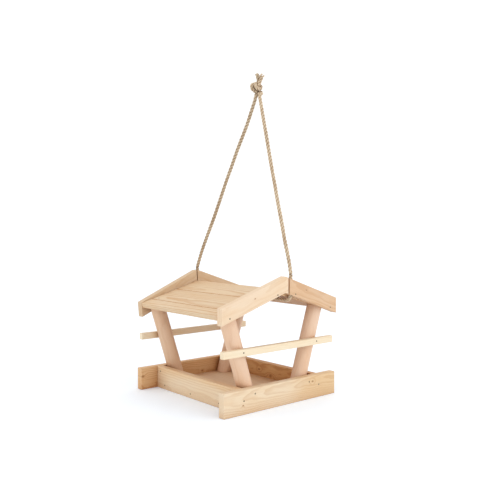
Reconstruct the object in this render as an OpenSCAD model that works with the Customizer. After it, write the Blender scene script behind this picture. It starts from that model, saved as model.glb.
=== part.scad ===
// Hanging bird feeder: an open softwood tray on which four leaning dowels carry a low
// ridge roof, hung on one loop of laid jute rope. Millimetres, +Z up. X runs across the
// gables, Y from the front gable (-Y) to the back one, and Z = 0 is the tray's underside.

/* [Tray] */
// Length of the front and back tray boards
tray_board_l = 220; // [200:1:240]
// Height of every tray board
tray_board_h = 34; // [30:1:40]
// Thickness of every tray board
tray_board_t = 11; // [10:0.5:13]
// Depth of the tray over its front and back boards
tray_d = 218; // [200:1:230]
// Width of the tray over its two side boards
tray_w = 160; // [156:1:180]
// Thickness of the floor panel between the boards
floor_t = 10; // [8:0.5:12]

/* [Posts] */
// Diameter of the round dowel posts
post_d = 23; // [18:0.5:24]
// Outward lean of each post from the vertical, in degrees
post_lean = 17.9; // [16:0.1:19]
// Distance from the middle of the tray to a post's axis at the floor
post_foot_x = 47.3; // [46:0.1:49]
// Gap between a post and the boards it stands against
post_gap = 0.1; // [0.1:0.05:0.5]

/* [Perches] */
// Length of each perch strip
perch_l = 216; // [190:1:220]
// Height of each perch strip
perch_h = 10; // [8:0.5:12]
// Thickness of each perch strip
perch_t = 8; // [6:0.5:10]
// Height of the perches' underside above the table
perch_z = 79.3; // [70:0.1:90]

/* [Barge boards] */
// Half of the width over the gables
gable_half_w = 113; // [110:0.5:115]
// Thickness of every barge board
barge_t = 11; // [10:0.5:12]
// Height of a barge board, measured plumb
barge_h = 23.5; // [22:0.5:25]
// Height of the gables' tops
apex_z = 185.7; // [184:0.1:187]
// Height of a barge board's top at the eave
eave_z = 148; // [146:0.5:150]
// How far right of the middle the front gable's top is
front_apex_x = 4.5; // [0:0.5:6]
// How far right of the middle the open joint of the front barge boards is
front_joint_x = 11.5; // [11:0.5:12]
// Width of the open joint between two barge boards
joint_gap = 3; // [2:0.5:4]
// Angle by which the back left barge board hangs lower than its neighbour
back_left_droop = 4.9; // [0:0.1:5]

/* [Roof planks] */
// Height of the ridge line of the planks
ridge_z = 167.6; // [167:0.1:169]
// Slope of the planks, in degrees
roof_pitch = 15.4; // [15:0.1:16]
// Thickness of the planks
plank_t = 8; // [7:0.5:8]
// Width of the plank next to the ridge
ridge_plank_w = 44; // [42:0.5:46]
// Width of the middle plank
middle_plank_w = 48; // [46:0.5:50]
// Width of the narrow plank at the eave
eave_plank_w = 20; // [16:0.5:20]
// Gap between two planks
plank_gap = 0.6; // [0.4:0.1:1.5]

/* [Rope] */
// Diameter of the laid jute rope
rope_d = 6; // [5:0.5:6]
// Diameter of the two rope holes
rope_hole_d = 7; // [6.5:0.5:7]
// Diameter of each lobe of the knot
knot_lobe_d = 13; // [11:0.5:14]

/* [Nails] */
// Diameter of a nail's shank
nail_d = 1.4; // [1.2:0.1:1.8]
// Diameter of a nail's head
nail_head_d = 2.4; // [2:0.1:3]
// Thickness of a nail's head
nail_head_t = 0.8; // [0.6:0.1:1]
// Clearance round a nail in its hole
nail_fit = 0.05; // [0.03:0.01:0.1]
// Length of the nails that join boards and posts
board_nail_l = 30; // [28:1:34]
// Length of the nails that hold the perches
perch_nail_l = 20; // [18:1:22]
// Length of the nails through the side boards into the floor
floor_nail_l = 25; // [20:1:28]

/* [Hidden] */

$fn = 64;
FAR = 400;       // longer than anything that a cutter has to pass through
BACK_JOINT_X = 0;
BACK_APEX_X = 0;
ROPE_SIDES = 10;
BEND_STEPS = 5;  // rings round each bend of the rope under a gable

inner_y = tray_d / 2 - tray_board_t;  // inner faces of the front and back boards
inner_x = tray_w / 2 - tray_board_t;  // inner faces of the side boards
post_y = inner_y - post_d / 2 - post_gap;
perch_y = inner_y + perch_t / 2;
middle_u = ridge_plank_w + plank_gap; // where the middle plank starts down the slope
eave_u = middle_u + middle_plank_w + plank_gap;

// The free rope from the pivot above each gable up into the knot
FRONT_ROUTE = [
    [19, -104, 190], [20, -101, 200], [21, -96, 215], [21.5, -89.5, 235],
    [23, -83, 255], [24, -76.5, 275], [25, -70, 295], [26.5, -63.5, 315],
    [27.5, -57, 335], [29, -50.5, 355], [30.5, -44, 375], [32, -37.5, 395],
    [33.5, -31, 415], [35, -24.5, 435], [36.5, -18, 455], [37, -15.5, 465],
];
BACK_ROUTE = [
    [4.5, 104, 190], [5, 100, 200], [6, 94, 215], [8.5, 86, 235],
    [11, 77, 255], [13.5, 68, 275], [15, 59, 295], [17, 50.5, 315],
    [19.5, 42.5, 335], [22.5, 34.5, 355], [25.5, 27, 375], [29, 19, 395],
    [32.5, 11, 415], [34.5, 2.5, 435], [35.5, -6.5, 455], [36, -9.5, 465],
];
HOLE_TOP_Z = 186.5;        // where the held rope ends, below the pivot
BEND_R = 9;                // bend of the rope round the foot of each barge board
FRONT_BEND_Z = 159;        // where the rope starts to bend under the front gable
BACK_BEND_Z = 163;         // and under the back gable

// Places of the nails
CORNER_X = 74.5;
CORNER_Z = 19;
FLOOR_NAIL_YS = [-60, 8.5, 77];
FLOOR_NAIL_Z = 6.5;
FOOT_X = 54;
FOOT_Z = 26;
FOOT_SIDE_Y = 84;          // nails through a post's foot into the side board
FOOT_SIDE_Z = 23;
FOOT_SIDE_X = 40.6;
FOOT_SIDE_L = 35;
OUTSIDE_NAIL_Y = 89;       // the back left foot is nailed from outside
OUTSIDE_NAIL_Z = 27;
OUTSIDE_NAIL_L = 24;
PERCH_NAIL_X = 72.5;
PERCH_NAIL_Z = 84.5;
BARGE_EAVE_NAIL = [99.4, 134];
BARGE_LEFT_NAIL = [-11.2, 160];
BARGE_RIGHT_NAIL = [24.4, 159];
BACK_RIDGE_NAIL = [16, 158.5];
ROOF_NAIL_U = 87;          // distance down the slope of the nails into the posts

SIDES = [-1, 1];

CORNER_NAILS = [for (x = SIDES, y = SIDES)
    [[x * CORNER_X, y * tray_d / 2, CORNER_Z], [y * 90, 0, 0], board_nail_l]];
FLOOR_NAILS = [for (x = SIDES, y = FLOOR_NAIL_YS)
    [[x * tray_w / 2, y, FLOOR_NAIL_Z], [0, -x * 90, 0], floor_nail_l]];
FOOT_NAILS = concat(
    [for (x = SIDES, y = SIDES)
        [[x * FOOT_X, y * tray_d / 2, FOOT_Z], [y * 90, 0, 0], board_nail_l]],
    [for (place = [[-1, -1], [1, -1], [1, 1]])
        [[place[0] * FOOT_SIDE_X, place[1] * FOOT_SIDE_Y, FOOT_SIDE_Z],
         [0, place[0] * 90, 0], FOOT_SIDE_L]],
    [[[-tray_w / 2, OUTSIDE_NAIL_Y, OUTSIDE_NAIL_Z], [0, 90, 0], OUTSIDE_NAIL_L]]
);
PERCH_NAILS = [for (x = SIDES, y = SIDES)
    [[x * PERCH_NAIL_X, y * (inner_y + perch_t), PERCH_NAIL_Z], [y * 90, 0, 0], perch_nail_l]];
BARGE_NAILS = concat(
    [for (x = SIDES, y = SIDES) gable_nail([x * BARGE_EAVE_NAIL[0], BARGE_EAVE_NAIL[1]], y)],
    [gable_nail(BARGE_LEFT_NAIL, -1), gable_nail(BARGE_RIGHT_NAIL, -1)],
    [for (x = SIDES) gable_nail([x * BACK_RIDGE_NAIL[0], BACK_RIDGE_NAIL[1]], 1)]
);
ROOF_NAILS = [for (x = SIDES, y = SIDES)
    [on_slope(x, ROOF_NAIL_U, y * post_y), [0, 180 + x * roof_pitch, 0], board_nail_l]];

// A nail through a gable's outer face; place is its X and Z, y is -1 in front, 1 behind
function gable_nail(place, y) =
    [[place[0], y * tray_d / 2, place[1]], [y * 90, 0, 0], board_nail_l];

// The point on top of the roof, u down the slope on the given side
function on_slope(side, u, y) =
    [side * u * cos(roof_pitch), y, ridge_z - u * sin(roof_pitch)];

// Height of a gable's top edge at x
function gable_top(apex_x, x) =
    apex_z - abs(x - apex_x) * (apex_z - eave_z)
        / (gable_half_w + (x < apex_x ? apex_x : -apex_x));

function unit(v) = v / norm(v);

// Direction of a route at its i-th point
function heading(route, i) =
    unit(route[min(i + 1, len(route) - 1)] - route[max(i - 1, 0)]);

// One ring of points round the route; every route here runs near the YZ plane
function ring(centre, along) =
    let (across = unit(cross(along, [1, 0, 0])), third = cross(across, along))
    [for (k = [0:ROPE_SIDES - 1])
        let (a = 360 * k / ROPE_SIDES)
        centre + rope_d / 2 * (cos(a) * across + sin(a) * third)];

// A quarter turn between the vertical at y = foot and the run under the roof
function bend(foot, start_z) =
    [for (k = [0:BEND_STEPS])
        let (a = 90 * k / BEND_STEPS)
        [foot[0], foot[1] - sign(foot[1]) * BEND_R * (1 - cos(a)), start_z - BEND_R * sin(a)]];

function reversed(list) = [for (i = [len(list) - 1:-1:0]) list[i]];

function held_route() =
    let (front = FRONT_ROUTE[0], back = BACK_ROUTE[0],
         front_bend = bend(front, FRONT_BEND_Z), back_bend = reversed(bend(back, BACK_BEND_Z)),
         from = front_bend[BEND_STEPS], to = back_bend[0])
    concat([[front[0], front[1], HOLE_TOP_Z], [front[0], front[1], (HOLE_TOP_Z + FRONT_BEND_Z) / 2]],
        front_bend,
        [for (share = [0.1:0.1:0.9]) from + share * (to - from)],
        back_bend,
        [[back[0], back[1], (HOLE_TOP_Z + BACK_BEND_Z) / 2], [back[0], back[1], HOLE_TOP_Z]]);

module rope_tube(route) {
    last = len(route) - 1;
    points = [for (i = [0:last]) each ring(route[i], heading(route, i))];
    sides = [for (i = [0:last - 1], k = [0:ROPE_SIDES - 1])
        let (next = (k + 1) % ROPE_SIDES, a = i * ROPE_SIDES)
        [a + k, a + next, a + ROPE_SIDES + next, a + ROPE_SIDES + k]];
    start = [for (k = [ROPE_SIDES - 1:-1:0]) k];
    end = [for (k = [0:ROPE_SIDES - 1]) last * ROPE_SIDES + k];
    polyhedron(points, concat([start], sides, [end]));
}

// A nail with its head at the origin, pointing up; grow widens it into its hole
module nail(length, grow = 0) {
    cylinder(d = nail_d + 2 * grow, h = length + grow, $fn = 24);
    translate([0, 0, -grow])
        cylinder(d = nail_head_d + 2 * grow, h = nail_head_t + 2 * grow, $fn = 24);
}

module nails(list) {
    for (place = list)
        translate(place[0]) rotate(place[1]) nail(place[2]);
}

module nail_holes(list) {
    for (place = list)
        translate(place[0]) rotate(place[1]) nail(place[2], nail_fit);
}

// Mirrors its children to the left where side is -1
module on_side(side) {
    if (side < 0) mirror([1, 0, 0]) children();
    else children();
}

module tray_board(side) {
    color("burlywood") difference() {
        translate([-tray_board_l / 2, side * (inner_y + tray_board_t / 2) - tray_board_t / 2, 0])
            cube([tray_board_l, tray_board_t, tray_board_h]);
        nail_holes(CORNER_NAILS);
        nail_holes(FOOT_NAILS);
    }
}

module side_board(side) {
    color("wheat") difference() {
        translate([side * (inner_x + tray_board_t / 2) - tray_board_t / 2, -inner_y, 0])
            cube([tray_board_t, 2 * inner_y, tray_board_h]);
        nail_holes(CORNER_NAILS);
        nail_holes(FLOOR_NAILS);
        nail_holes(FOOT_NAILS);
    }
}

module floor_board() {
    color("tan") difference() {
        translate([-inner_x, -inner_y, 0]) cube([2 * inner_x, 2 * inner_y, floor_t]);
        nail_holes(FLOOR_NAILS);
    }
}

// Everything above the underside of the planks on one side
module above_planks(side) {
    on_side(side) translate([0, 0, ridge_z]) rotate([0, roof_pitch, 0])
        translate([-FAR / 2, -FAR / 2, -plank_t]) cube(FAR);
}

module post(x_side, y_side) {
    color("rosybrown") difference() {
        translate([x_side * post_foot_x, y_side * post_y, floor_t])
            rotate([0, x_side * post_lean, 0])
                translate([0, 0, -post_d / 2]) cylinder(d = post_d, h = apex_z);
        translate([-FAR / 2, -FAR / 2, floor_t - FAR]) cube(FAR);
        above_planks(x_side);
        nail_holes(FOOT_NAILS);
        nail_holes(PERCH_NAILS);
        nail_holes(ROOF_NAILS);
    }
}

module perch(side) {
    color("cornsilk") difference() {
        translate([-perch_l / 2, side * perch_y - perch_t / 2, perch_z])
            cube([perch_l, perch_t, perch_h]);
        nail_holes(PERCH_NAILS);
    }
}

// Both slopes of one gable in one piece, apex_x right of the middle
module gable(side, apex_x) {
    top = [[-gable_half_w, eave_z], [apex_x, apex_z], [gable_half_w, eave_z]];
    bottom = [for (p = top) [p[0], p[1] - barge_h]];
    translate([0, side > 0 ? tray_d / 2 : barge_t - tray_d / 2, 0])
        rotate([90, 0, 0]) linear_extrude(barge_t) polygon(concat(top, reversed(bottom)));
}

// The vertical hole in a gable that the rope runs through
module rope_hole(route) {
    translate([route[0][0], route[0][1], 0]) cylinder(d = rope_hole_d, h = FAR);
}

// One barge board: the part of its gable that is on its own side of the open joint
module barge(y_side, x_side, apex_x, joint_x, route, droop = 0) {
    color("navajowhite") difference() {
        translate([0, 0, apex_z]) rotate([0, -droop, 0]) translate([0, 0, -apex_z])
            intersection() {
                gable(y_side, apex_x);
                translate([joint_x + (x_side > 0 ? joint_gap / 2 : -joint_gap / 2 - FAR),
                    -FAR / 2, 0]) cube(FAR);
            }
        rope_hole(route);
        nail_holes(BARGE_NAILS);
    }
}

// One plank from u0 to u1 down the slope; the ridge plank's upper edge is mitred plumb
module plank(side, u0, width, mitred = false) {
    color("bisque") difference() {
        on_side(side) translate([0, inner_y, ridge_z]) rotate([0, roof_pitch, 0])
            rotate([90, 0, 0]) linear_extrude(2 * inner_y)
                polygon([[u0, 0], [u0 + width, 0], [u0 + width, -plank_t],
                    [u0 + (mitred ? plank_t * tan(roof_pitch) : 0), -plank_t]]);
        nail_holes(BARGE_NAILS);
        nail_holes(ROOF_NAILS);
    }
}

module ridge_plank(side) { plank(side, 0, ridge_plank_w, mitred = true); }
module middle_plank(side) { plank(side, middle_u, middle_plank_w); }
module eave_plank(side) { plank(side, eave_u, eave_plank_w); }

module rope(route) {
    color("tan") rope_tube(route);
}

// Overhand knot that ties both strands together, with its two cut ends
module knot() {
    color("peru") union() {
        rope_blob([[31, -7.5, 476], [40.5, -16, 473.5], [36.5, -12.5, 470]], knot_lobe_d);
        rope_blob([[35, -11, 476], [33, -10.5, 494]], rope_d);
        rope_blob([[37, -13, 476], [42.5, -17, 491]], rope_d);
    }
}

// A rounded lump of rope round the given places
module rope_blob(places, width) {
    hull() for (place = places) translate(place) sphere(d = width, $fn = 20);
}

module steel_nails(list) {
    color("dimgray") nails(list);
}

tray_board(-1);  // front_board
tray_board(1);  // back_board
side_board(-1);  // left_side_board
side_board(1);  // right_side_board
floor_board();  // floor_panel
post(-1, -1);  // post_front_left
post(1, -1);  // post_front_right
post(-1, 1);  // post_back_left
post(1, 1);  // post_back_right
perch(-1);  // front_perch
perch(1);  // back_perch
barge(-1, -1, front_apex_x, front_joint_x, FRONT_ROUTE);  // barge_front_left
barge(-1, 1, front_apex_x, front_joint_x, FRONT_ROUTE);  // barge_front_right
barge(1, -1, BACK_APEX_X, BACK_JOINT_X, BACK_ROUTE, back_left_droop);  // barge_back_left
barge(1, 1, BACK_APEX_X, BACK_JOINT_X, BACK_ROUTE);  // barge_back_right
ridge_plank(-1);  // roof_left_ridge_plank
middle_plank(-1);  // roof_left_middle_plank
eave_plank(-1);  // roof_left_eave_plank
ridge_plank(1);  // roof_right_ridge_plank
middle_plank(1);  // roof_right_middle_plank
eave_plank(1);  // roof_right_eave_plank
rope(FRONT_ROUTE);  // rope_front_strand
rope(BACK_ROUTE);  // rope_back_strand
rope(held_route());  // rope_under_ridge
knot();  // rope_knot
steel_nails(CORNER_NAILS);  // corner_nails
steel_nails(FLOOR_NAILS);  // floor_nails
steel_nails(FOOT_NAILS);  // foot_nails
steel_nails(PERCH_NAILS);  // perch_nails
steel_nails(BARGE_NAILS);  // barge_nails
steel_nails(ROOF_NAILS);  // roof_nails
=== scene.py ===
"""Hanging bird feeder: bare softwood tray, dowel posts and plank roof on a loop of laid jute rope.

Metres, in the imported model's frame: X runs across the gables, Y from the front gable (-Y) to
the back one, Z up from the tray's underside.
"""

import math

import bmesh
import bpy
import numpy as np
from mathutils import Matrix, Vector


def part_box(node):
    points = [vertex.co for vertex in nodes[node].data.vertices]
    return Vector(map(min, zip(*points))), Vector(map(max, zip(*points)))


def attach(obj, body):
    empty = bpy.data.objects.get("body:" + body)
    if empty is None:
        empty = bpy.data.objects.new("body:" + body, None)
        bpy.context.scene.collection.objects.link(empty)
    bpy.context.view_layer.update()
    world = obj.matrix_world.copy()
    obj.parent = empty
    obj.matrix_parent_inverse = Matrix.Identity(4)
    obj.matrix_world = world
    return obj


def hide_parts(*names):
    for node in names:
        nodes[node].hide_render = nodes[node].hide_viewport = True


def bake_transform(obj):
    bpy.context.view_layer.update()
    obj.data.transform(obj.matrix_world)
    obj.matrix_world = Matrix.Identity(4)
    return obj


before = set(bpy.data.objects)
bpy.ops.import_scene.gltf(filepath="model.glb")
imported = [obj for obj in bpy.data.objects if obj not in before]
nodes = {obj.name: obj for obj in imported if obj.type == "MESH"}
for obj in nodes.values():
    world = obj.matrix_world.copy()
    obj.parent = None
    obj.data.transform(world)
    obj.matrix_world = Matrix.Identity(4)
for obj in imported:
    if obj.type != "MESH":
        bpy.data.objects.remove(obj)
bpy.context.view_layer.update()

MM = 0.001
BODY_HOUSE = "house"
BODY_LOOP = "rope_loop"

# ---------------------------------------------------------------- camera
CAMERA_PLACE = Vector((-0.6439, -0.7713, 0.2555))
CAMERA_AZIMUTH = math.radians(-39.83)
CAMERA_ELEVATION = math.radians(2.26)
CAMERA_LENS_MM = 46.52
SENSOR_MM = 36
CAMERA_SHIFT = (0.031, 0.0066)
CAMERA_CLIP = (0.01, 50)


def add_camera():
    data = bpy.data.cameras.new("camera")
    data.lens = CAMERA_LENS_MM
    data.sensor_width = SENSOR_MM
    data.shift_x, data.shift_y = CAMERA_SHIFT
    data.clip_start, data.clip_end = CAMERA_CLIP
    camera = bpy.data.objects.new("camera", data)
    back = Vector((
        math.sin(CAMERA_AZIMUTH) * math.cos(CAMERA_ELEVATION),
        -math.cos(CAMERA_AZIMUTH) * math.cos(CAMERA_ELEVATION),
        math.sin(CAMERA_ELEVATION),
    ))
    camera.location = CAMERA_PLACE
    camera.rotation_mode = "QUATERNION"
    camera.rotation_quaternion = (-back).to_track_quat("-Z", "Y")
    bpy.context.scene.collection.objects.link(camera)
    bpy.context.scene.camera = camera


# ---------------------------------------------------------------- rope route, in millimetres
ROPE_D = 6
FRONT_ROUTE = [
    (19, -104, 190), (20, -101, 200), (21, -96, 215), (21.5, -89.5, 235),
    (23, -83, 255), (24, -76.5, 275), (25, -70, 295), (26.5, -63.5, 315),
    (27.5, -57, 335), (29, -50.5, 355), (30.5, -44, 375), (32, -37.5, 395),
    (33.5, -31, 415), (35, -24.5, 435), (36.5, -18, 455), (37, -15.5, 465),
]
BACK_ROUTE = [
    (4.5, 104, 190), (5, 100, 200), (6, 94, 215), (8.5, 86, 235),
    (11, 77, 255), (13.5, 68, 275), (15, 59, 295), (17, 50.5, 315),
    (19.5, 42.5, 335), (22.5, 34.5, 355), (25.5, 27, 375), (29, 19, 395),
    (32.5, 11, 415), (34.5, 2.5, 435), (35.5, -6.5, 455), (36, -9.5, 465),
]
HOLE_TOP_Z = 186.5      # where the held stretch under the ridge ends
BEND_R = 9              # turns in under the ridge with this radius
FRONT_BEND_Z = 159      # heights at which the two turns start
BACK_BEND_Z = 163
BEND_STEPS = 12
STRAIGHT_STEP = 1.5     # close to the step round a bend, so that the curve doesn't swing out


def bend_points(foot, start_z):
    """Quarter turn of the rope round the foot of a barge board, ending level under the roof."""
    points = []
    for k in range(BEND_STEPS + 1):
        a = math.pi / 2 * k / BEND_STEPS
        inward = -math.copysign(BEND_R * (1 - math.cos(a)), foot[1])
        points.append((foot[0], foot[1] + inward, start_z - BEND_R * math.sin(a)))
    return points


def straight(start, end):
    """Evenly spaced points between two points, both left out, about as close as a bend's."""
    start, end = Vector(start), Vector(end)
    count = int((end - start).length / STRAIGHT_STEP)
    return [tuple(start.lerp(end, k / count)) for k in range(1, count)]


def held_route():
    """The stretch that runs down the front gable's hole, under the ridge and up the back one's."""
    front, back = FRONT_ROUTE[0], BACK_ROUTE[0]
    front_top = (front[0], front[1], HOLE_TOP_Z)
    back_top = (back[0], back[1], HOLE_TOP_Z)
    front_bend = bend_points(front, FRONT_BEND_Z)
    back_bend = bend_points(back, BACK_BEND_Z)[::-1]
    return [front_top, *straight(front_top, front_bend[0]), *front_bend,
            *straight(front_bend[-1], back_bend[0]), *back_bend,
            *straight(back_bend[-1], back_top), back_top]


# ---------------------------------------------------------------- shader helper
SAMPLES = 4              # rays for each soft shade or rounded corner in a material
MIX_SHARE, MIX_A, MIX_B, MIX_RESULT = 0, 6, 7, 2     # a Mix node's sockets for colours


class Graph:
    """Builds a node tree in short lines; every method but feed returns a node or a socket."""

    def __init__(self, name):
        self.material = bpy.data.materials.new(name)
        self.material.use_nodes = True
        self.tree = self.material.node_tree
        self.shader = self.tree.nodes["Principled BSDF"]

    def node(self, kind, inputs=(), **settings):
        made = self.tree.nodes.new(kind)
        for key, value in settings.items():
            setattr(made, key, value)
        for key, value in dict(inputs).items():
            self.feed(made.inputs[key], value)
        return made

    def feed(self, socket, value):
        if isinstance(value, bpy.types.NodeSocket):
            self.tree.links.new(value, socket)
        else:
            socket.default_value = value

    def math(self, operation, a, b=0.0):
        return self.node("ShaderNodeMath", {0: a, 1: b}, operation=operation).outputs[0]

    def add(self, a, b):
        return self.math("ADD", a, b)

    def sub(self, a, b):
        return self.math("SUBTRACT", a, b)

    def mul(self, a, b):
        return self.math("MULTIPLY", a, b)

    def dot(self, vector, direction):
        made = self.node("ShaderNodeVectorMath", {0: vector, 1: direction}, operation="DOT_PRODUCT")
        return made.outputs["Value"]

    def vector(self, x, y, z):
        return self.node("ShaderNodeCombineXYZ", {0: x, 1: y, 2: z}).outputs[0]

    def place(self):
        return self.node("ShaderNodeTexCoord").outputs["Object"]

    def openness(self, reach):
        """Share of the surroundings, out to reach, that is open: low in corners."""
        made = self.node("ShaderNodeAmbientOcclusion", {"Distance": reach}, samples=SAMPLES)
        return made.outputs["AO"]

    def noise(self, vector, scale=1.0, detail=3.0, rough=0.5):
        inputs = {"Vector": vector, "Scale": scale, "Detail": detail, "Roughness": rough}
        return self.node("ShaderNodeTexNoise", inputs).outputs["Fac"]

    def span(self, value, low, high, to_low=0.0, to_high=1.0):
        """Maps low..high to to_low..to_high, eased at both ends and held beyond them."""
        inputs = {"Value": value, "From Min": low, "From Max": high,
                  "To Min": to_low, "To Max": to_high}
        made = self.node("ShaderNodeMapRange", inputs, interpolation_type="SMOOTHSTEP")
        return made.outputs["Result"]

    def mix(self, share, a, b, blend="MIX"):
        made = self.node("ShaderNodeMix", data_type="RGBA", blend_type=blend, clamp_factor=True)
        self.feed(made.inputs[MIX_SHARE], share)
        self.feed(made.inputs[MIX_A], a)
        self.feed(made.inputs[MIX_B], b)
        return made.outputs[MIX_RESULT]

    def tint(self, share, colour, tint):
        return self.mix(share, colour, tint, "MULTIPLY")

    def bump(self, height, distance, strength=1.0, below=None):
        inputs = {"Height": height, "Distance": distance, "Strength": strength}
        made = self.node("ShaderNodeBump", inputs)
        if below is not None:
            self.feed(made.inputs["Normal"], below)
        return made.outputs["Normal"]


def linear(r, g, b):
    """Linear RGBA of a colour given as 0-255 sRGB."""
    def channel(v):
        v /= 255
        return v / 12.92 if v <= 0.04045 else ((v + 0.055) / 1.055) ** 2.4
    return (channel(r), channel(g), channel(b), 1.0)


# ---------------------------------------------------------------- wood
SHADE_MM = 38            # reach of the soft shade in corners and under boards
WORN_MM = 1.1            # width of the paler band along a sanded edge
X_AXIS = Vector((1, 0, 0))
Y_AXIS = Vector((0, 1, 0))
Z_AXIS = Vector((0, 0, 1))

WOOD_KNOT_COLOUR = linear(150, 98, 52)
WORN_COLOUR = linear(246, 232, 208)
SAWN_AND_SHADE_COLOUR = linear(190, 130, 76)
CLOUD_TINT = (0.97, 0.84, 0.66, 1.0)
PORE_TINT = (0.62, 0.45, 0.28, 1.0)
HEART_TINT = (0.93, 0.70, 0.42, 1.0)
RIPE_TINT = (0.90, 0.76, 0.56, 1.0)
SHADE_TINT = (0.60, 0.36, 0.17, 1.0)
UNDERSIDE_SHADE_TINT = (0.72, 0.51, 0.33, 1.0)

# noise drawn out along the grain, with its scales for each mm along and across
WANDER = {"along": 0.010, "across": 0.03, "detail": 2.0}
WOBBLE = {"along": 0.035, "across": 0.11, "detail": 2.0}
STREAK = {"along": 0.030, "across": 1.1, "detail": 4.0, "rough": 0.6}
PORE = {"along": 0.16, "across": 4.5, "detail": 2.0, "rough": 0.6}
SEED_SCALE = 0.01        # what one step of the seed changes in each pattern
SEED_SHIFT = 3.7
SEED_CLOUD = 1.9
SEED_YEAR = 0.37
WANDER_MM = 13.0         # how far the whole log's growth rings stray
WOBBLE_MM = 3.4          # how far they waver over a short stretch
YEARS_IN = 50            # keeps the count of years above zero
LATE_RISE = (0.35, 0.86)          # the part of a year over which late wood sets in
LATE_END = (0.93, 1.0)            # and over which it stops
NOISE_MIDDLE = 0.5

# the knots in the wood; lengths are shares of a knot's radius
WOOD_KNOT_SQUEEZE = 0.62          # distances along the fibres count this much
WOOD_KNOT_RAGGED = 0.9            # how uneven its rim is
WOOD_KNOT_REACH = 4.2             # how far off the rings start to swerve
WOOD_KNOT_SWERVE = 1.7
WOOD_KNOT_RIM = (0.55, 1.25)      # from dark to clean
WOOD_KNOT_SHARE = 0.72            # of its colour at its darkest

# shares of the late colour and the tints in the clean wood
LATE_SHARE = 0.62
STREAK_SHARE = 0.30
CLOUD_SHARE = 0.34
PORE_SHARE = 0.22
WORN_SHARE = 0.35

HEART_EDGE = (-2.0, -12.0)        # mm across, from clean to dark
RIPE_END = (20.0, 110.0)          # mm along
WOOD_ROUGHNESS = 0.62
WOOD_SHINE = 0.32
FIBRE_RELIEF = (0.12 * MM, 0.55)  # depth and strength of the bumps
RING_RELIEF = (0.07 * MM, 0.6)


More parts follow.
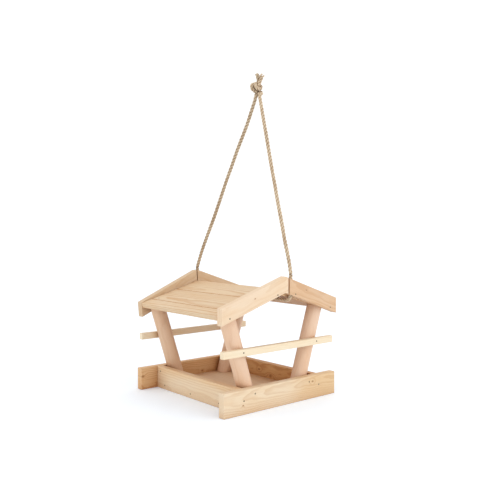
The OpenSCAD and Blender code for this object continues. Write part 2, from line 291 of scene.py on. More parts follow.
class Board(Graph):
    """Sawn softwood as a solid texture, in mm from the board's centre.

    along runs with the fibres, depth out of the wide face, and across square to both.
    """

    def __init__(self, name, grain, face, centre, seed):
        super().__init__(name)
        self.seed = seed
        self.grain_axis = Vector(grain).normalized()
        self.face_axis = Vector(face).normalized()
        self.cross_axis = self.face_axis.cross(self.grain_axis)
        self.local = self.node("ShaderNodeVectorMath", {0: self.place(), 1: tuple(centre)},
                               operation="SUBTRACT").outputs[0]
        self.along = self.measure(self.grain_axis)
        self.across = self.measure(self.cross_axis)
        self.depth = self.measure(self.face_axis)
        self.wander = self.fibres(**WANDER, scale=1.0 + SEED_SCALE * seed)
        self.wobble = self.fibres(**WOBBLE, offset=seed * SEED_SHIFT)
        self.streak = self.fibres(**STREAK)
        self.pore = self.fibres(**PORE)

    def measure(self, axis):
        """Distance from the centre along an axis, in mm."""
        return self.mul(self.dot(self.local, tuple(axis)), 1 / MM)

    def fibres(self, along, across, offset=0.0, **settings):
        """Noise drawn out along the grain; along and across are its scales for each mm."""
        vector = self.vector(self.mul(self.along, along),
                             self.add(self.mul(self.across, across), offset),
                             self.mul(self.depth, across))
        return self.noise(vector, **settings)

    def knots(self, places):
        """How far the rings swerve round the knots, in mm, and how dark the wood is there."""
        swerve, dark = 0.0, 0.0
        for along, across, radius in places:
            dx = self.mul(self.sub(self.along, along), WOOD_KNOT_SQUEEZE)
            dy = self.sub(self.across, across)
            wave = self.noise(self.vector(self.mul(self.along, 0.5), self.mul(self.across, 0.5),
                                          self.seed), detail=2.0)
            far = self.math("SQRT", self.add(self.mul(dx, dx), self.mul(dy, dy)))
            far = self.add(far, self.mul(self.sub(wave, NOISE_MIDDLE), radius * WOOD_KNOT_RAGGED))
            swerve = self.add(swerve, self.span(far, 0.0, radius * WOOD_KNOT_REACH,
                                                radius * WOOD_KNOT_SWERVE, 0.0))
            inner, outer = (radius * share for share in WOOD_KNOT_RIM)
            dark = self.math("MAXIMUM", dark, self.span(far, inner, outer, 1.0, 0.0))
        return swerve, dark

    def late_wood(self, ring, pith, tilt, stray, swerve):
        """Share of dense late wood in each year's growth, counted from the log's heart."""
        side = self.sub(self.across, pith[0])
        deep = self.sub(self.sub(self.depth, pith[1]), self.mul(self.along, tilt))
        radius = self.math("SQRT", self.add(self.mul(side, side), self.mul(deep, deep)))
        radius = self.add(radius, self.mul(self.sub(self.wander, NOISE_MIDDLE), WANDER_MM * stray))
        radius = self.add(radius, self.mul(self.sub(self.wobble, NOISE_MIDDLE), WOBBLE_MM * stray))
        radius = self.add(radius, swerve)
        years = self.add(self.math("DIVIDE", radius, ring), YEARS_IN + self.seed * SEED_YEAR)
        year = self.math("FRACT", years)
        late = self.mul(self.span(year, *LATE_RISE), self.span(year, *LATE_END, 1.0, 0.0))
        weight = self.noise(self.vector(self.mul(radius, 0.16), self.seed,
                                        self.mul(self.along, 0.004)), detail=1.0)
        return self.mul(late, self.span(weight, 0.25, 0.7, 0.35, 1.0))

    def clean_wood(self, tone, late, contrast):
        """The colour of knot-free wood from its (early wood, late wood) tones."""
        early_colour, late_colour = (linear(*colour) for colour in tone)
        cloud = self.noise(self.vector(self.mul(self.along, 0.012), self.mul(self.across, 0.05),
                                       self.seed * SEED_CLOUD), detail=2.0)
        colour = self.mix(self.mul(late, LATE_SHARE * contrast), early_colour, late_colour)
        streaks = self.span(self.streak, 0.35, 0.75, 0.0, STREAK_SHARE * contrast)
        colour = self.mix(streaks, colour, late_colour)
        colour = self.tint(self.span(cloud, 0.32, 0.68, 0.0, CLOUD_SHARE), colour, CLOUD_TINT)
        pores = self.span(self.pore, 0.55, 0.8, 0.0, PORE_SHARE * contrast)
        return self.tint(pores, colour, PORE_TINT)

    def ripened(self, colour, heart, ripe):
        """The colour with a darker edge (heart) and a darker far end (ripe), each from 0 to 1."""
        if heart:
            edge = self.span(self.add(self.across, self.mul(self.wobble, 8.0)), *HEART_EDGE)
            colour = self.tint(self.mul(edge, heart), colour, HEART_TINT)
        if ripe:
            reach = self.add(self.along, self.mul(self.wobble, 60.0))
            colour = self.tint(self.span(reach, *RIPE_END, 0.0, ripe), colour, RIPE_TINT)
        return colour

    def handled(self, colour, shade, sawn, back):
        """The colour with pale sanded edges, painted shade in corners and under boards, the saw-cut
        edges' brown deepened by painted shade, and painted shade on the back face.
        """
        geometry = self.node("ShaderNodeNewGeometry").outputs
        rounded = self.node("ShaderNodeBevel", {"Radius": WORN_MM * MM}, samples=SAMPLES).outputs[0]
        edge = self.span(self.dot(rounded, geometry["True Normal"]), 0.995, 0.90)
        rubbed = self.span(self.noise(self.place(), scale=160.0, detail=2.0), 0.35, 0.65, 0.25, 0.8)
        colour = self.mix(self.mul(self.mul(edge, rubbed), WORN_SHARE), colour, WORN_COLOUR)
        openness = self.openness(SHADE_MM * MM)
        # painted shade: the wood browns where corners and nearby boards keep the light off
        colour = self.tint(self.span(openness, 0.1, 0.75, shade, 0.0), colour, SHADE_TINT)
        # real brown of the saw-cut long edges, laid on only where the next plank shades them and
        # deeper in more shade, so partly painted shade
        if sawn:
            lying = self.math("ABSOLUTE", self.dot(geometry["Normal"], tuple(self.cross_axis)))
            inner = self.mul(self.span(lying, 0.1, 0.6), self.span(openness, 0.82, 0.98, sawn, 0.0))
            colour = self.mix(inner, colour, SAWN_AND_SHADE_COLOUR)
        # painted shade on the face opposite the wide one, which is the underside of a roof plank
        if back:
            facing = self.dot(geometry["True Normal"], tuple(self.face_axis))
            colour = self.tint(self.span(facing, -0.8, -0.4, back, 0.0), colour, UNDERSIDE_SHADE_TINT)
        return colour

    def finish(self, colour, late):
        """Connects the colour, the roughness and the relief of the fibres and rings."""
        self.feed(self.shader.inputs["Base Color"], colour)
        rough = self.add(WOOD_ROUGHNESS, self.mul(self.sub(self.streak, NOISE_MIDDLE), 0.22))
        self.feed(self.shader.inputs["Roughness"], self.add(rough, self.mul(late, -0.08)))
        self.shader.inputs["Specular IOR Level"].default_value = WOOD_SHINE
        relief = self.add(self.mul(self.streak, 0.6), self.mul(self.pore, 0.4))
        normal = self.bump(relief, *FIBRE_RELIEF)
        normal = self.bump(late, *RING_RELIEF, below=normal)
        self.feed(self.shader.inputs["Normal"], normal)


def wood_material(name, grain, face, centre, tone, seed, ring=3.2, pith=(6, -28), tilt=0.03,
                  contrast=1.0, knots=(), heart=0.0, ripe=0.0, shade=0.85, sawn=0.0,
                  stray=1.0, back=0.0):
    """The wood of one piece.

    grain is the way the fibres run and face the wide face's normal, centre a point in the board
    in metres, tone the (early wood, late wood) colours, ring the width of a year in mm, pith the
    log's heart across and behind the face in mm, tilt how much the heart leaves the board's line,
    and knots a list of (along, across, radius) in mm from the centre. heart darkens one edge
    and ripe the far end, shade is how brown painted shade makes the wood where light hardly
    reaches it, sawn how brown its long saw-cut edges are where the next board shades them
    (their own colour deepened by painted shade), stray how far the grain leaves a straight line,
    and back how brown painted shade makes the face opposite the wide one.
    """
    board = Board(name, grain, face, centre, seed)
    swerve, dark = board.knots(knots)
    late = board.late_wood(ring, pith, tilt, stray, swerve)
    colour = board.ripened(board.clean_wood(tone, late, contrast), heart, ripe)
    if knots:
        colour = board.mix(board.mul(dark, WOOD_KNOT_SHARE), colour, WOOD_KNOT_COLOUR)
    board.finish(board.handled(colour, shade, sawn, back), late)
    return board.material


# ---------------------------------------------------------------- wooden pieces
ARRIS = 0.7 * MM         # rounding of a sanded edge
DOWEL_ARRIS = 0.5 * MM   # of the posts' ends
STRIP_ARRIS = 0.6 * MM   # of the perch strips
PLANK_ARRIS = 1.1 * MM   # the roof planks' edges are rounded more
ARRIS_STEPS = 3
RIM_EDGE = 0.6 * MM      # shorter edges than this belong to nail holes
WELD = 0.004 * MM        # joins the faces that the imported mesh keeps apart
BEVEL_WELD = 0.002 * MM  # joins what the rounding leaves on top of itself
FLAT = math.radians(0.6)            # faces that turn less than this are one face
SHARP = math.radians(30)            # edges that turn more than this are rounded
SHARP_SHADING = math.radians(32)    # and after it, more than this are shaded as sharp
FACE_WEIGHT = 100        # the even shading follows each corner's largest face


def sanded_mesh(node, arris):
    """A copy of a CAD board's mesh with its long edges rounded."""
    mesh = nodes[node].data.copy()
    mesh.name = node + "_wood"
    bm = bmesh.new()
    bm.from_mesh(mesh)
    bmesh.ops.remove_doubles(bm, verts=bm.verts, dist=WELD)
    bmesh.ops.dissolve_limit(bm, angle_limit=FLAT, verts=bm.verts, edges=bm.edges)
    edges = [e for e in bm.edges if e.is_manifold and e.calc_length() > RIM_EDGE
             and e.calc_face_angle(0) > SHARP]
    bmesh.ops.bevel(bm, geom=edges, offset=arris, segments=ARRIS_STEPS, profile=0.5,
                    affect="EDGES", clamp_overlap=False)
    bmesh.ops.remove_doubles(bm, verts=bm.verts, dist=BEVEL_WELD)
    bm.to_mesh(mesh)
    bm.free()
    mesh.shade_smooth()
    mesh.set_sharp_from_angle(angle=SHARP_SHADING)
    return mesh


def wooden_piece(node, slot, grain, face, tone, seed, arris=ARRIS, **look):
    """Stands for one CAD node of wood and keeps its shape; look goes on to wood_material()."""
    mesh = sanded_mesh(node, arris)
    mesh.materials.clear()
    mesh.materials.append(wood_material(node + "_wood", grain, face, middle(node), tone, seed, **look))
    piece = bpy.data.objects.new(node + "_wood", mesh)
    bpy.context.scene.collection.objects.link(piece)
    even = piece.modifiers.new("even_shading", "WEIGHTED_NORMAL")
    even.keep_sharp = True
    even.weight = FACE_WEIGHT
    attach(piece, BODY_HOUSE)
    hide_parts(node)


def middle(node):
    low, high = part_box(node)
    return (low + high) / 2


# (early wood, late wood) of each kind of piece, in sRGB
PALE = ((231, 208, 181), (214, 178, 138))
HONEY = ((231, 211, 183), (208, 172, 132))
STRAW = ((222, 200, 169), (198, 154, 108))
TAN = ((217, 184, 151), (192, 144, 100))
DULL = ((211, 186, 156), (190, 152, 110))
# these two orange tones, for the back and right side boards, are their own colour darkened as painted
# shade for the tray's inside
AMBER_AND_SHADE = ((222, 186, 142), (190, 132, 78))
RUSSET_AND_SHADE = ((214, 170, 118), (176, 112, 56))
PINK = ((229, 198, 172), (214, 173, 142))
# pink darkened as painted shade, for the back left post under the back of the roof
SHADED_PINK = ((219, 186, 156), (202, 158, 124))
CREAM = ((236, 220, 193), (222, 198, 162))
PANEL = ((222, 194, 164), (198, 164, 130))

POST_LEAN = math.radians(17.9)
ROOF_PITCH = math.radians(15.4)
POSTS = (                 # name, side of the house, tone
    ("front_left", -1, PINK), ("front_right", 1, PINK),
    # the back left post's darker tone is painted shade
    ("back_left", -1, SHADED_PINK), ("back_right", 1, PINK),
)
BARGES = (                # name, slope in degrees, tone, knots
    ("front_left", 17.7, PALE, [(-2, 3.5, 1.0)]),
    ("front_right", -19.0, TAN, [(-19, 4, 1.0)]),
    ("back_left", 23.3, DULL, [(-38, -2, 1.4)]),
    ("back_right", -18.3, DULL, []),
)
POST_SEED = 6.0           # the first seed of each group; no two pieces share one
PERCH_SEED = 11.0
BARGE_SEED = 20.0
ROOF_SEED = 31.0


def make_tray():
    wooden_piece("front_board", "pine_boards", X_AXIS, -Y_AXIS, HONEY, 1.0, ring=2.0,
                 pith=(9, -17), tilt=0.032, contrast=0.85, ripe=0.75, stray=0.6,
                 knots=[(-76, -4, 1.1), (61, 8.5, 1.5)])
    wooden_piece("back_board", "pine_boards", X_AXIS, -Y_AXIS, AMBER_AND_SHADE, 2.0, ring=2.4,
                 pith=(-12, -22), tilt=-0.02, knots=[(-107, 4, 2.0), (10, -3, 1.5)])
    wooden_piece("left_side_board", "pine_boards", Y_AXIS, -X_AXIS, HONEY, 3.0, ring=2.6,
                 pith=(16, -26), tilt=0.012, heart=0.4, contrast=0.9, stray=0.5)
    wooden_piece("right_side_board", "pine_boards", Y_AXIS, -X_AXIS, RUSSET_AND_SHADE, 4.0, ring=2.2,
                 pith=(-10, -20), tilt=0.02, contrast=1.25,
                 knots=[(-8, 2, 2.2), (20, -4, 1.7), (-60, 6, 1.6)])
    wooden_piece("floor_panel", "floor_panel", Y_AXIS, Z_AXIS, PANEL, 5.0, ring=5.0,
                 pith=(60, -60), tilt=0.01, contrast=0.8, shade=0.5)


def make_posts():
    for k, (name, side, tone) in enumerate(POSTS):
        axis = Vector((side * math.sin(POST_LEAN), 0, math.cos(POST_LEAN)))
        wooden_piece("post_" + name, "dowel_posts", axis, -Y_AXIS, tone, POST_SEED + k,
                     DOWEL_ARRIS, ring=4.2, pith=(-14, -60), tilt=0.02, contrast=0.55)


def make_perches():
    for k, node in enumerate(("front_perch", "back_perch")):
        wooden_piece(node, "perch_strips", X_AXIS, -Y_AXIS, CREAM, PERCH_SEED + k,
                     STRIP_ARRIS, ring=2.4, pith=(20, -30), tilt=0.01, contrast=0.6)


def make_barges():
    for k, (name, degrees, tone, knots) in enumerate(BARGES):
        slope = math.radians(degrees)
        grain = Vector((math.cos(slope), 0, math.sin(slope)))
        wooden_piece("barge_" + name, "pine_barges", grain, -Y_AXIS, tone, BARGE_SEED + k,
                     ring=3.6, pith=(12, -34), tilt=0.02, knots=knots, contrast=0.8, shade=0.3)


def make_roof():
    planks = [(side, part) for side in ("left", "right") for part in ("ridge", "middle", "eave")]
    for k, (side, part) in enumerate(planks):
        across = math.sin(ROOF_PITCH) * (-1 if side == "left" else 1)
        face = Vector((across, 0, math.cos(ROOF_PITCH)))
        wooden_piece(f"roof_{side}_{part}_plank", "roof_planks", Y_AXIS, face, STRAW,
                     ROOF_SEED + k, PLANK_ARRIS, ring=2.6, pith=(14, -24), sawn=0.8,
                     tilt=0.016 if part == "ridge" else -0.012,
                     contrast=1.35, stray=0.3, back=0.9)


# ---------------------------------------------------------------- nails
STEEL_DARK = linear(112, 90, 66)
STEEL_PALE = linear(156, 138, 114)
STEEL_METALLIC = 0.7
STEEL_ROUGHNESS = (0.35, 0.65)
STEEL_RELIEF = (0.05 * MM, 0.5)


def nail_material():
    g = Graph("nail_steel")
    grime = g.noise(g.place(), scale=900.0, detail=3.0, rough=0.6)
    colour = g.mix(g.span(grime, 0.35, 0.65), STEEL_DARK, STEEL_PALE)
    g.feed(g.shader.inputs["Base Color"], colour)
    g.feed(g.shader.inputs["Roughness"], g.span(grime, 0.3, 0.7, *STEEL_ROUGHNESS))
    g.shader.inputs["Metallic"].default_value = STEEL_METALLIC
    g.feed(g.shader.inputs["Normal"], g.bump(grime, *STEEL_RELIEF))
    return g.material


def finish_nails():
    steel = nail_material()
    for name, obj in nodes.items():
        if name.endswith("_nails"):
            obj.data.materials.clear()
            obj.data.materials.append(steel)


# ---------------------------------------------------------------- knot
KNOT_POINTS = 110        # points along each of the two ropes while the knot is pulled tight
KNOT_LEGS = 20           # points in each straight end of the wide knot
KNOT_LEG_MM = 70.0       # length of each straight end
KNOT_OPENING = 0.12      # angle left open at each end of the trefoil
KNOT_SCALE = 9.0         # size of the wide knot it starts from, mm
KNOT_GAP = 4.5           # distance between two pressed ropes' centres, mm
KNOT_RUN = 130.0         # length of each rope through the knot, mm
KNOT_MIDDLE = Vector((36.5, -12.5, 469.5))
KNOT_ASIDE = 24.0        # shifts the wide knot over its own feet
KNOT_TURN = math.radians(160)     # of the wide knot about Z
KNOT_ROUNDS = 450        # rounds of pulling it tight
KNOT_PASSES = 3          # passes of the solver in each round
TIGHT_BY = 0.8           # share of the rounds after which the knot is tight
RELAX = 0.25             # how much of the way to its place one pass moves a point
NEIGHBOURS = 1.35        # points closer along one rope than this many gaps don't push apart
PINNED = 6               # points of each foot held in line with its strand
TIPS = ((29.5, -7.0, 512.0), (43.5, -17.0, 512.0))   # the ends before they are cut off
CUT_Z = (496.5, 493.5)   # heights at which the back and front ends are cut off
TINY = 1e-6


def wide_knot():
    """Two ropes side by side in a wide overhand knot (an opened trefoil), rising along Z."""
    t = np.linspace(math.pi + KNOT_OPENING, 3 * math.pi - KNOT_OPENING, KNOT_POINTS - 2 * KNOT_LEGS)
    loop = KNOT_SCALE * np.stack([np.cos(t) - 2 * np.cos(2 * t) + 3, np.sin(3 * t),
                                  np.sin(t) + 2 * np.sin(2 * t)], axis=1)
    loop[:, 0] -= KNOT_ASIDE
    leg = np.linspace(1, 0, KNOT_LEGS, endpoint=False)[:, None] * np.array([0, 0, KNOT_LEG_MM])
    rope = np.vstack([loop[0] - leg, loop, loop[-1] + leg[::-1]])
    turn = np.array(Matrix.Rotation(KNOT_TURN, 3, "Z"))
    sideways = np.array([0, ROPE_D * 0.53, 0])     # just over half a rope to either side
    return [(rope + shift) @ turn.T + np.array(KNOT_MIDDLE) for shift in (-sideways, sideways)]


def keep_lengths(rope, step):
    """One pass of pulling neighbouring points of a rope to the same distance."""
    for first in (0, 1):
        pairs = (len(rope) - first) // 2
        low, high = rope[first:first + 2 * pairs:2], rope[first + 1:first + 2 * pairs:2]
        apart = high - low
        far = np.linalg.norm(apart, axis=1)[:, None]
        pull = 0.5 * (far - step) / far * apart
        low += pull
        high -= pull


def push_apart(points, first, second):
    """One pass of keeping the pairs of points that the ropes' thickness holds apart."""
    apart = points[first] - points[second]
    far = np.linalg.norm(apart, axis=1)
    close = far < KNOT_GAP
    i, j, apart, far = first[close], second[close], apart[close], far[close]
    push = (RELAX * (KNOT_GAP - far) / np.maximum(far, TINY))[:, None] * apart
    move = np.zeros_like(points)
    np.add.at(move, i, push)
    np.add.at(move, j, -push)
    count = np.bincount(i, minlength=len(points)) + np.bincount(j, minlength=len(points))
    points += move / np.sqrt(np.maximum(count, 1))[:, None]


def pinned_points(feet, directions, step):
    """The numbers of the held points, and where they end up: both feet and both tips."""
    pins, goals = [], []
    for k in (0, 1):
        for i in range(PINNED):
            pins.append(k * KNOT_POINTS + i)
            goals.append(feet[k] - directions[k] * (PINNED - 1 - i) * step)
        pins.append((k + 1) * KNOT_POINTS - 1)
        goals.append(np.array(TIPS[k]))
    return pins, np.array(goals)


def tied_knot(feet, directions):
    """The wide knot pulled tight between the strands' ends and the tips; one curve per rope."""
    points = np.vstack(wide_knot())
    n = KNOT_POINTS
    ropes = [points[:n], points[n:]]
    wide_step = np.linalg.norm(np.diff(ropes[0], axis=0), axis=1).mean()
    tight_step = KNOT_RUN / (n - 1)
    pins, goals = pinned_points(feet, directions, tight_step)
    start = points[pins].copy()
    first, second = np.triu_indices(2 * n, 1)
    same = first // n == second // n
    for turn in range(KNOT_ROUNDS):
        done = min(1.0, turn / (KNOT_ROUNDS * TIGHT_BY))
        step = wide_step * (tight_step / wide_step) ** done
        held = start + (goals - start) * math.sqrt(done)
        apart = ~(same & (second - first < int(KNOT_GAP * NEIGHBOURS / step) + 1))
        for _ in range(KNOT_PASSES):
            for rope in ropes:
                rope[1:-1] += RELAX * ((rope[:-2] + rope[2:]) / 2 - rope[1:-1])
                keep_lengths(rope, step)
                keep_lengths(rope, step)
            points[pins] = held
            push_apart(points, first[apart], second[apart])
            points[pins] = held
    return [cut_end(rope[PINNED - 1:], z) for rope, z in zip(ropes, CUT_Z)]


def cut_end(rope, z):
    """The rope up to the last point that lies below z."""
    return rope[:int(np.max(np.nonzero(rope[:, 2] < z))) + 1]


# ---------------------------------------------------------------- laid rope
STRANDS = 3
STRAND_SIDES = 12
STRAND_R = ROPE_D / 2 / (1 + 2 / math.sqrt(3))   # three strands nested in the rope's circle
HELIX_R = ROPE_D / 2 - STRAND_R
LAY_MM = 17.0            # length of one turn of the strands
FIRST_SIDE = (0.31, 0.11, 0.94)   # any direction that the rope doesn't start along
FINE_STEP = 0.5          # mm between the points of a curve before it is evened out
RING_STEP = 0.75         # mm between rings of the mesh
TAIL = 8                 # rings at a strand's end that give its direction
FRAY_MM = 9.0            # length over which the front end comes apart
FRAY_THINNING = 0.15     # share of a strand's radius lost at the frayed end
FIBRE_EVERY = 1.6        # mm of rope for each loose fibre
FIBRE_LENGTH = (1.5, 4.5)
FIBRE_LIFT = (0.15, 0.55)         # how far a fibre's tip leaves the rope, as a share of its length
FIBRE_RINGS = (0, 0.35, 0.7, 1)   # shares of its length
FIBRE_SIDES = 3
FIBRE_CURL = 1.5         # power with which it lifts off towards its tip
FIBRE_TAPER = 0.7        # share of its radius lost at the tip
FIBRE_ROOT = 0.5         # mm that a fibre starts below the rope's circle
FIBRE_R = 0.06
FIBRE_LAID = (0.5, 1)    # where a fibre reads the jute texture: half way round, on strand 1
SEED = 7


def smooth_route(points, step=RING_STEP):
    """A Catmull-Rom curve through points, in mm, sampled every step."""
    p = np.array(points, float)
    p = np.vstack([2 * p[0] - p[1], p, 2 * p[-1] - p[-2]])
    curve = []
    for i in range(1, len(p) - 2):
        count = max(2, int(np.linalg.norm(p[i + 1] - p[i]) / FINE_STEP))
        t = np.linspace(0, 1, count, endpoint=False)[:, None]
        a, b, c, d = p[i - 1], p[i], p[i + 1], p[i + 2]
        curve.append(0.5 * (2 * b + (c - a) * t + (2 * a - 5 * b + 4 * c - d) * t ** 2
                            + (3 * b - a - 3 * c + d) * t ** 3))
    curve = np.vstack([*curve, p[-2][None]])
    return resample(curve, step)


def run_along(curve):
    """Length of the curve up to each of its points."""
    return np.concatenate([[0], np.cumsum(np.linalg.norm(np.diff(curve, axis=0), axis=1))])


def resample(curve, step):
    run = run_along(curve)
    at = np.linspace(0, run[-1], max(3, int(round(run[-1] / step)) + 1))
    return np.stack([np.interp(at, run, curve[:, k]) for k in range(3)], axis=1)


def unit(vectors):
    return vectors / np.linalg.norm(vectors, axis=-1, keepdims=True)


def sway(run, amount, length, phase=0.0):
    """A slow change along the rope, so that no two turns are alike."""
    return amount * np.sin(run / length + phase)


class LaidRope:
    """A three-strand rope along one curve, in mm, cut into pieces that fit end to end."""

    def __init__(self, curve):
        self.curve = curve
        self.run = run_along(curve)
        self.tangent = unit(np.gradient(curve, axis=0))
        side = np.cross(self.tangent[0], FIRST_SIDE)
        sides = []
        for tangent in self.tangent:
            side = unit(side - tangent * (side @ tangent))
            sides.append(side)
        self.side = np.array(sides)
        self.other = np.cross(self.tangent, self.side)
        self.random = np.random.default_rng(SEED)

    def strand(self, k):
        """Ring centres, their outward directions and radii for one of the three strands."""
        run = self.run
        turn = 2 * math.pi * (run / LAY_MM + k / STRANDS) + sway(run, 0.25, 31.0)
        radial = self.side * np.cos(turn)[:, None] + self.other * np.sin(turn)[:, None]
        fray = np.clip(1 - (run[-1] - run) / FRAY_MM, 0, 1) ** 2
        slack = 1 + sway(run, 0.05, 23.0) + sway(run, 0.03, 7.1) + fray
        centre = self.curve + radial * (HELIX_R * slack)[:, None]
        radius = STRAND_R * (1 + sway(run, 0.05, 3.7, phase=2.1 * k) - FRAY_THINNING * fray)
        return centre, radial, radius

    def mesh(self, first, last):
        """Vertices, faces and lay coordinates of the stretch between two rings."""
        verts, faces, laid = [], [], []
        angles = 2 * math.pi * np.arange(STRAND_SIDES) / STRAND_SIDES
        for k in range(STRANDS):
            centre, radial, radius = self.strand(k)
            around = unit(np.gradient(centre, axis=0))
            out = unit(radial - around * np.sum(radial * around, axis=1)[:, None])
            third = np.cross(around, out)
            base = len(verts)
            for i in range(first, last + 1):
                for a in angles:
                    spoke = math.cos(a) * out[i] + math.sin(a) * third[i]
                    verts.append(centre[i] + radius[i] * spoke)
                    laid.append((self.run[i] * MM, a / (2 * math.pi), k))
            faces += tube_faces(base, last - first + 1, STRAND_SIDES)
        self.add_fibres(first, last, verts, faces, laid)
        return verts, faces, laid

    def add_fibres(self, first, last, verts, faces, laid):
        """Loose ends of jute that stand off the rope, each a thin curved spike."""
        count = int((self.run[last] - self.run[first]) / FIBRE_EVERY)
        for _ in range(count):
            i = int(self.random.integers(first, last))
            a = self.random.uniform(0, 2 * math.pi)
            length = self.random.uniform(*FIBRE_LENGTH)
            lift = self.random.uniform(*FIBRE_LIFT)
            along = self.tangent[i] * self.random.choice((-1, 1))
            out = math.cos(a) * self.side[i] + math.sin(a) * self.other[i]
            foot = self.curve[i] + out * (ROPE_D / 2 - FIBRE_ROOT)
            base = len(verts)
            verts += fibre_verts(foot, along, out, length, lift)
            laid += [(self.run[i] * MM, *FIBRE_LAID)] * (len(verts) - base)
            faces += tube_faces(base, len(FIBRE_RINGS), FIBRE_SIDES)


def fibre_verts(foot, along, out, length, lift):
    """The rings of one loose fibre, thinner and further off the rope towards its tip."""
    verts = []
    across = np.cross(along, out)
    for share in FIBRE_RINGS:
        centre = foot + along * length * share + out * lift * length * share ** FIBRE_CURL
        radius = FIBRE_R * (1 - FIBRE_TAPER * share)
        for corner in range(FIBRE_SIDES):
            b = 2 * math.pi * corner / FIBRE_SIDES
            verts.append(centre + radius * (math.cos(b) * out + math.sin(b) * across))
    return verts


def tube_faces(base, rings, sides):
    """Quads of a tube whose rings follow one another from vertex base, and its two caps."""
    faces = []
    for i in range(rings - 1):
        low = base + i * sides
        for k in range(sides):
            following = (k + 1) % sides
            faces.append((low + k, low + following, low + sides + following, low + sides + k))
    faces.append(tuple(base + k for k in reversed(range(sides))))
    last = base + (rings - 1) * sides
    faces.append(tuple(last + k for k in range(sides)))
    return faces


def rope_piece(name, rope, spans, material):
    """One object made of the given spans (first ring, last ring) of the rope."""
    verts, faces, laid = [], [], []
    for first, last in spans:
        more_verts, more_faces, more_laid = rope.mesh(first, last)
        faces += [tuple(v + len(verts) for v in face) for face in more_faces]
        verts += more_verts
        laid += more_laid
    piece = mesh_piece(name, np.array(verts) * MM, faces, material, laid)
    return piece


def mesh_piece(name, verts, faces, material, laid=None):
    mesh = bpy.data.meshes.new(name)
    mesh.from_pydata([tuple(v) for v in verts], [], faces)
    mesh.update()
    if laid is not None:
        attribute = mesh.attributes.new("laid", "FLOAT_VECTOR", "POINT")
        attribute.data.foreach_set("vector", np.array(laid, np.float32).ravel())
    mesh.materials.append(material)
    mesh.shade_smooth()
    piece = bpy.data.objects.new(name, mesh)
    bpy.context.scene.collection.objects.link(piece)
    return piece


JUTE_DARK = linear(212, 187, 155)
JUTE_PALE = linear(244, 228, 200)
PATCH_COLOUR = linear(186, 154, 118)
SPECK_COLOUR = linear(140, 108, 74)
YARN_GROOVE_SHADE_TINT = (0.55, 0.42, 0.30, 1.0)
BACK_END_TINT = (0.84, 0.83, 0.81, 1.0)
CREASE_SHADE_TINT = (0.42, 0.26, 0.14, 1.0)
CREASE_MM = 2.2          # reach of the shade between the strands
BACK_END_RUN = (350.0, 650.0)   # the rope goes from darker to paler between these lengths, in mm
YARNS = 5.0              # yarns round one strand
YARN_TWIST = -0.36       # yarns passed in each mm along; minus turns against the strands
THREADS = 9.0            # scale of the finer threads' noise round a strand
THREAD_TWIST = -0.65     # and its slant for each mm along
THREAD_STRETCH = 0.25    # its scale for each mm along, so that the threads are long
JUTE_ROUGHNESS = (0.78, 0.95)
JUTE_RELIEF = (0.22 * MM, 0.8)
JUTE_SHADER = {"Specular IOR Level": 0.2, "Sheen Weight": 0.25, "Sheen Roughness": 0.5}


def jute_material():
    g = Graph("jute")
    laid = g.node("ShaderNodeAttribute", attribute_name="laid").outputs["Vector"]
    run, around, strand = g.node("ShaderNodeSeparateXYZ", {0: laid}).outputs
    run_mm = g.mul(run, 1 / MM)
    # the yarns turn against the strands, so their fibres cross the rope nearly straight
    turns = g.add(g.mul(around, YARNS), g.mul(run_mm, YARN_TWIST))
    yarn = g.math("SINE", g.mul(turns, 2 * math.pi))
    thread = g.add(g.mul(around, THREADS), g.mul(run_mm, THREAD_TWIST))
    twisted = g.vector(g.mul(run_mm, THREAD_STRETCH), thread, strand)
    fibre = g.noise(twisted, scale=2.4, detail=4.0, rough=0.65)
    patch = g.noise(g.place(), scale=60.0, detail=2.0)
    speck = g.noise(g.place(), scale=700.0, detail=2.0)
    colour = g.mix(g.span(fibre, 0.3, 0.72), JUTE_DARK, JUTE_PALE)
    colour = g.mix(g.span(patch, 0.35, 0.7, 0.0, 0.5), colour, PATCH_COLOUR)
    colour = g.mix(g.span(speck, 0.6, 0.75, 0.0, 0.35), colour, SPECK_COLOUR)
    # painted shade in the grooves between the yarns, where the relief below is lowest
    colour = g.tint(g.span(yarn, -1.0, 0.2, 0.35, 0.0), colour, YARN_GROOVE_SHADE_TINT)
    # the rope is darker towards its back end
    colour = g.tint(g.span(run_mm, *BACK_END_RUN, 1.0, 0.0), colour, BACK_END_TINT)
    # painted shade: the jute browns between the strands and in the knot's folds
    crease = g.openness(CREASE_MM * MM)
    colour = g.tint(g.span(crease, 0.35, 0.95, 0.95, 0.0), colour, CREASE_SHADE_TINT)
    g.feed(g.shader.inputs["Base Color"], colour)
    g.feed(g.shader.inputs["Roughness"], g.span(fibre, 0.3, 0.7, *JUTE_ROUGHNESS))
    for name, value in JUTE_SHADER.items():
        g.shader.inputs[name].default_value = value
    height = g.add(g.mul(yarn, 0.5), fibre)
    g.feed(g.shader.inputs["Normal"], g.bump(height, *JUTE_RELIEF))
    return g.material


def whole_rope():
    """The rope from its back end to its front end, and the rings where its pieces meet."""
    front, back = smooth_route(FRONT_ROUTE), smooth_route(BACK_ROUTE)
    held = smooth_route(held_route())
    feet = (back[-1], front[-1])
    directions = (unit(back[-1] - back[-TAIL]), unit(front[-1] - front[-TAIL]))
    back_knot, front_knot = (smooth_route(knot) for knot in tied_knot(feet, directions))
    stretches = (back_knot[::-1], back[::-1], held[::-1], front, front_knot)
    joints = [0]
    curve = stretches[0]
    for stretch in stretches[1:]:
        joints.append(len(curve) - 1)
        skip = 1 if np.linalg.norm(stretch[0] - curve[-1]) < 0.5 * RING_STEP else 0
        curve = np.vstack([curve, stretch[skip:]])
    return LaidRope(curve), [*joints, len(curve) - 1]


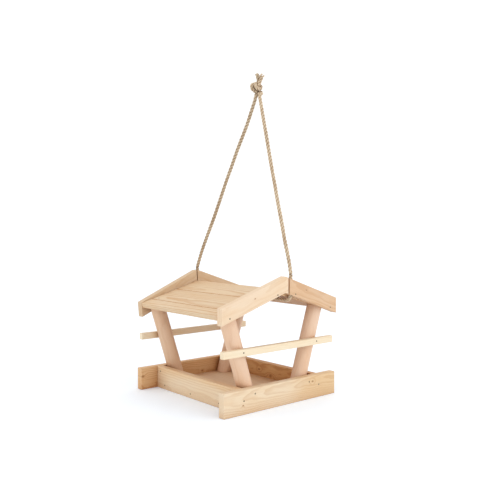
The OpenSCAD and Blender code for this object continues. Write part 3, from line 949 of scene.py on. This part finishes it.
def make_rope():
    jute = jute_material()
    rope, joints = whole_rope()
    back_knot, back, held, front, front_knot = zip(joints[:-1], joints[1:])
    knot = rope_piece("rope_knot_tied", rope, (back_knot, front_knot), jute)
    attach(knot, BODY_LOOP)
    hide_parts("rope_knot")
    under = rope_piece("rope_under_ridge_laid", rope, (held,), jute)
    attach(under, BODY_HOUSE)
    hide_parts("rope_under_ridge")
    for side, (first, last) in (("front", front), ("back", back)):
        path = rope.curve[first:last + 1] * MM
        if side == "back":
            path = path[::-1]
        piece = rope_piece(f"rope_{side}_strand_laid", rope, ((first, last),), jute)
        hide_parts(f"rope_{side}_strand")
        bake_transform(piece)


# ---------------------------------------------------------------- studio
FLOOR_SIZE = 60.0
FLOOR_DARK = (0.94, 0.95, 0.96, 1)
FLOOR_PALE = (0.96, 0.97, 0.98, 1)
FLOOR_GLOW = (0.02, 0.07, 0.12, 1.0)   # keeps the shadows from taking the wood's colour
FLOOR_SHADER = {"Emission Color": FLOOR_GLOW, "Emission Strength": 1.0,
                "Roughness": 0.9, "Specular IOR Level": 0.1}
WORLD_COLOUR = (1.0, 1.0, 1.0, 1.0)
WORLD_STRENGTH = 1.12
LIT_POINT = (0, 0, 0.1)
LIGHTS = (                # name, place, side in metres, watts
    ("key", (0.5, -2.0, 1.1), 1.2, 5.0),
)


def make_studio():
    g = Graph("studio_floor")
    shade = g.noise(g.place(), scale=3.0, detail=2.0)
    g.feed(g.shader.inputs["Base Color"], g.mix(shade, FLOOR_DARK, FLOOR_PALE))
    for name, value in FLOOR_SHADER.items():
        g.shader.inputs[name].default_value = value
    half = FLOOR_SIZE / 2
    verts = [(-half, -half, 0), (half, -half, 0), (half, half, 0), (-half, half, 0)]
    mesh_piece("studio_floor", verts, [(0, 1, 2, 3)], g.material)

    world = bpy.data.worlds.new("studio")
    world.use_nodes = True
    background = world.node_tree.nodes["Background"]
    background.inputs["Color"].default_value = WORLD_COLOUR
    background.inputs["Strength"].default_value = WORLD_STRENGTH
    bpy.context.scene.world = world

    for name, place, size, power in LIGHTS:
        add_area(name, place, LIT_POINT, size, power)


def add_area(name, place, target, size, power):
    data = bpy.data.lights.new(name, "AREA")
    data.shape = "SQUARE"
    data.size = size
    data.energy = power
    light = bpy.data.objects.new(name, data)
    light.location = place
    light.rotation_mode = "QUATERNION"
    light.rotation_quaternion = (Vector(target) - Vector(place)).to_track_quat("-Z", "Y")
    bpy.context.scene.collection.objects.link(light)


def set_colour():
    view = bpy.context.scene.view_settings
    view.view_transform = "Standard"
    view.look = "None"


add_camera()
make_rope()
make_tray()
make_posts()
make_perches()
make_barges()
make_roof()
finish_nails()
make_studio()
set_colour()
